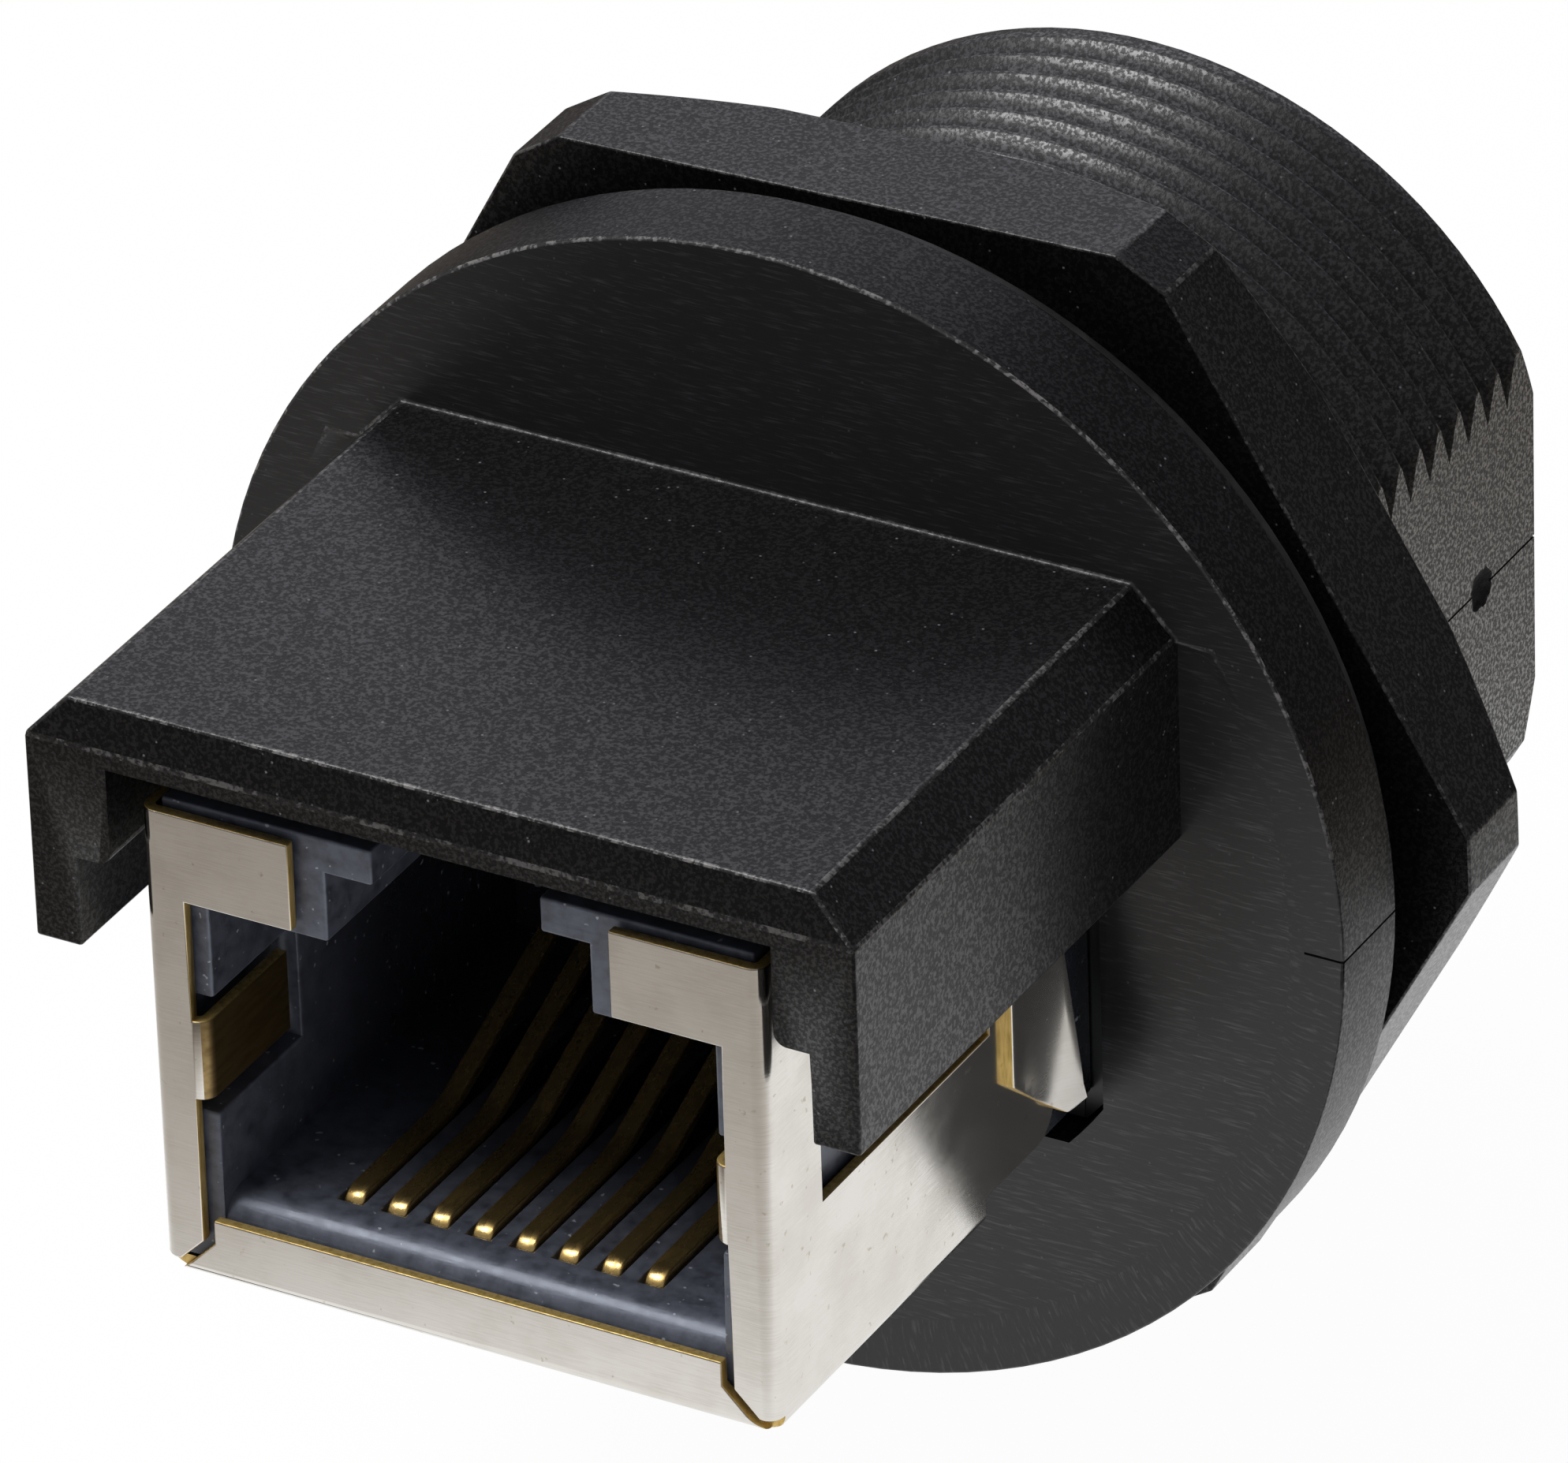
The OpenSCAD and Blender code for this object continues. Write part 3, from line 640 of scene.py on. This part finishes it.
# Each end of the brow becomes one corner, so that its edges have room for their rounding.
for side in (-1, 1):
    brow = [v for v in body_bm.verts if v.co.y < body_low.y + WELD and v.co.z > WORN_HEIGHT]
    corner = max(brow, key=lambda v: v.co.x * side)
    beside = [v for v in brow if (v.co - corner.co).length < BODY_ROUND * ROUND_ROOM]
    bmesh.ops.pointmerge(body_bm, verts=beside, merge_co=corner.co.copy())

# The step round the flange's recess becomes a slope.
for vert in body_bm.verts:
    reach = math.hypot(vert.co.x, vert.co.z)
    sunk = WELD < vert.co.y + FLANGE_T < RECESS_ROOM
    if sunk and abs(reach - rim_r + BAND_W) < BAND_W / 4:
        vert.co.x *= 1 - RECESS_SLOPE / reach
        vert.co.z *= 1 - RECESS_SLOPE / reach

worn_layer = body_bm.faces.layers.float.new("worn")
round_edges(body_bm, CREST_ROUND, on_crest, segments=1)
for face in round_edges(body_bm, BODY_ROUND, on_outside):
    face[worn_layer] = wear(face.calc_center_median())
body = shown("moulded_body", body_bm, [
    nylon_finish("grained_nylon"),
    nylon_finish("brushed_nylon", brushed=True, shine=BRUSHED_SHINE),
    nylon_finish("barrel_nylon", shine=BARREL_SHINE, rough=BARREL_ROUGH),
    nylon_finish("rim_nylon", shine=RIM_SHINE),
    nylon_finish("flat_nylon", shine=FLAT_SHINE, rough=BARREL_ROUGH)])

torn_nylon, pen = new_finish("torn_nylon")
torn = clouds(pen, millimetres(pen), waves=6, detail=4, rough=0.7)
surface(pen, {"Base Color": mixed(between(torn, start=0.4, end=0.7), NYLON, NYLON_LIGHT), "Roughness": 0.7,
              "Normal": bumped(torn, depth=0.06), "Specular IOR Level": NYLON_SHINE})

# The parting line runs along the barrel's flats, across the rim and over the flange's band.
for middle, size in (
    ((FLAT_X, body_high.y, 0), (2 * SEAM_DEPTH, 2 * body_high.y - GASKET_T, SEAM_W)),
    ((rim_r, -FLANGE_T / 2, 0), (2 * SEAM_DEPTH, FLANGE_T + BAND_W, SEAM_W)),
    ((rim_r - BAND_W / 3, -FLANGE_T, 0), (BAND_W, 2 * SEAM_DEPTH, SEAM_W)),
):
    seam_bm = bmesh.new()
    for side in (-1, 1):
        spot = Matrix.Translation((side * middle[0], *middle[1:]))
        bmesh.ops.create_cube(seam_bm, size=1, matrix=spot @ Matrix.Diagonal((*size, 1)))
    cut_by(body, shown("seam_cutter", seam_bm, [torn_nylon]))

gate_bm = bmesh.new()
bmesh.ops.create_icosphere(gate_bm, subdivisions=4, radius=GATE_R)
for vert in gate_bm.verts:
    vert.co += vert.normal * GATE_RAGGED * noise.noise(vert.co * GATE_WAVES)
    vert.co += Vector((FLAT_X + GATE_R - GATE_DEPTH, GATE_Y, 0))
cut_by(body, shown("gate_cutter", gate_bm, [torn_nylon]))

smoothed(body)
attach(body, "housing")
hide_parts("bulkhead_body")

# Gasket
# A flat ring of black rubber, cut from sheet and slipped over the barrel against the flange.
# The nut squeezes the panel against it.

GASKET_ROUND = 0.08
RUBBER = (0.006, 0.006, 0.0065, 1)
RUBBER_BLOOM = (0.018, 0.018, 0.019, 1)
RUBBER_ROUGH = 0.55
BLOOM_ROUGH = 0.2

black_rubber, pen = new_finish("black_rubber")
bloom = clouds(pen, millimetres(pen), waves=1.8, detail=5, rough=0.6)
surface(pen, {"Base Color": mixed(between(bloom, start=0.4, end=0.75), RUBBER, RUBBER_BLOOM),
              "Roughness": RUBBER_ROUGH + bloom * BLOOM_ROUGH, "Normal": bumped(bloom, depth=0.01)})
gasket_bm = welded("panel_gasket")
round_edges(gasket_bm, GASKET_ROUND)
gasket = shown("ring_gasket", gasket_bm, [black_rubber])
smoothed(gasket)
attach(gasket, "housing")
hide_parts("panel_gasket")

# Panel nut
# A large hex nut moulded in the same black nylon, with cut-back corners and a chamfered rear.
# It screws along the barrel and clamps the panel.

NUT_ROUND = 0.06
NUT_TURN = 20
NUT_WORN = 0.25

nut_bm = welded("panel_nut")
nut_worn = nut_bm.faces.layers.float.new("worn")
for face in round_edges(nut_bm, NUT_ROUND, lambda e: is_outer(e, NUT_TURN)):
    face[nut_worn] = NUT_WORN
nut = shown("hex_nut", nut_bm, [nylon_finish("nut_nylon")])
smoothed(nut)
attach(nut, "nut")
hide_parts("panel_nut")

# Studio
# A white floor with a pool of light in reflections, a soft lamp above on the left, a light wall behind it
# and a darker one on the right. The camera stands where the photograph was taken, with a long lens.
# Floor, pool and lamp are in metres.

IMAGE_WIDTH = 1988
FOCAL_PIXELS = 20000
SENSOR = 36.0
AZIMUTH = math.radians(30.066)
ELEVATION = math.radians(30.74)
ROLL = math.radians(-1.998)
DISTANCE = 331.931
SLIDE = 0.225
RISE = 1.749
AIM = Vector((0, -FLANGE_T, 0))
WHITE = (1, 1, 1, 1)
FLOOR_HALF = 2.0
FLOOR_WHITE = (0.93, 0.93, 0.93, 1)
FLOOR_GLOW = 0.97
POOL_MIDDLE = (0.006, 0, 0)
POOL_REACH = 0.1
POOL_LEVELS = ((0.26, 1.0), (0.34, 0.62), (0.40, 0.48), (0.48, 0.39), (0.60, 0.24), (0.90, 0.10))
POOL_TINT = (1, 0.92, 0.84, 1)
ROOM = (0.20, 0.20, 0.21, 1)
LIGHT_WALL = (0.80, 0.79, 0.86, 1)
LIGHT_WAY = Vector((-0.25, 0.66, 0.71))
LIGHT_SPREAD = (50, 14)
DARK_WALL = (0.17, 0.17, 0.18, 1)
DARK_WAY = Vector((0.62, 0.62, 0.48))
DARK_SPREAD = (50, 24)
LAMP_WAY = Vector((-0.40, -0.22, 0.89))
LAMP_DISTANCE = 0.7
LAMP_SIZE = 0.45
LAMP_POWER = 4.0

floor_paper, pen = new_finish("floor_paper")
paper = pen.node("ShaderNodeBsdfDiffuse", {}, {"Color": FLOOR_WHITE})
camera_ray, glossy_ray, clear_ray = (
    pen.node("ShaderNodeLightPath", out=f"Is {kind} Ray") for kind in ("Camera", "Glossy", "Transmission"))
place = pen.node("ShaderNodeTexCoord", out="Object")
level_place = pen.node("ShaderNodeVectorMath", {"operation": "MULTIPLY"}, {0: place, 1: (1, 1, 0)})
away = pen.node("ShaderNodeVectorMath", {"operation": "DISTANCE"}, {0: level_place, 1: POOL_MIDDLE},
                out="Value")
pool_stops = [(reach, [level ** (1 / tint) for tint in POOL_TINT]) for reach, level in POOL_LEVELS]
mirrored = pen.node("ShaderNodeValToRGB", {"stops": pool_stops}, {"Fac": away / POOL_REACH})
glow = pen.node("ShaderNodeEmission", {}, {"Color": mixed(camera_ray, mirrored, WHITE), "Strength": 1.0})
seen = pen.node("ShaderNodeClamp", {}, {"Value": camera_ray + glossy_ray + clear_ray})
lit_paper = pen.node("ShaderNodeMixShader", {}, {"Fac": seen * FLOOR_GLOW, 1: paper, 2: glow})
pen.node("ShaderNodeOutputMaterial", {}, {"Surface": lit_paper})
floor_bm = bmesh.new()
bmesh.ops.create_grid(floor_bm, x_segments=1, y_segments=1, size=FLOOR_HALF / MM,
                      matrix=Matrix.Translation((0, 0, cad_box[0].z / MM)))
shown("floor", floor_bm, [floor_paper])

world = bpy.data.worlds.new("studio")
world.use_nodes = True
world.node_tree.nodes.clear()
bpy.context.scene.world = world
pen = Wire(world.node_tree)


def towards(way, wide, narrow):
    """A mask for the part of the room in one direction, soft between two angles in degrees."""
    look = pen.node("ShaderNodeTexCoord", out="Generated")
    facing = pen.node("ShaderNodeVectorMath", {"operation": "DOT_PRODUCT"},
                      {0: look, 1: way.normalized()}, out="Value")
    return between(facing, math.cos(math.radians(wide)), math.cos(math.radians(narrow)))


room = mixed(towards(LIGHT_WAY, *LIGHT_SPREAD), ROOM, LIGHT_WALL)
room = mixed(towards(DARK_WAY, *DARK_SPREAD), room, DARK_WALL)
behind = pen.node("ShaderNodeLightPath", out="Is Camera Ray")
lit = pen.node("ShaderNodeBackground", {}, {"Color": mixed(behind, room, WHITE), "Strength": 1.0})
pen.node("ShaderNodeOutputWorld", {}, {"Surface": lit})

lamp = bpy.data.lights.new("softbox", "AREA")
lamp.shape = "DISK"
lamp.size = LAMP_SIZE
lamp.energy = LAMP_POWER
softbox = bpy.data.objects.new("softbox", lamp)
bpy.context.scene.collection.objects.link(softbox)
softbox.location = LAMP_WAY.normalized() * LAMP_DISTANCE
softbox.rotation_euler = (-LAMP_WAY).to_track_quat("-Z", "Y").to_euler()

back = Vector((math.sin(AZIMUTH) * math.cos(ELEVATION), -math.cos(AZIMUTH) * math.cos(ELEVATION),
               math.sin(ELEVATION)))
level_right = Vector((math.cos(AZIMUTH), math.sin(AZIMUTH), 0))
level_up = back.cross(level_right)
right = math.cos(ROLL) * level_right + math.sin(ROLL) * level_up
up = math.cos(ROLL) * level_up - math.sin(ROLL) * level_right
lens = bpy.data.cameras.new("camera")
lens.sensor_fit = "HORIZONTAL"
lens.sensor_width = SENSOR
lens.lens = FOCAL_PIXELS * SENSOR / IMAGE_WIDTH
lens.clip_start = 0.01
camera = bpy.data.objects.new("camera", lens)
bpy.context.scene.collection.objects.link(camera)
eye = (AIM + back * DISTANCE + right * SLIDE + up * RISE) * MM
camera.matrix_world = Matrix.Translation(eye) @ Matrix((right, up, back)).transposed().to_4x4()
bpy.context.scene.camera = camera
bpy.context.scene.view_settings.view_transform = "Standard"
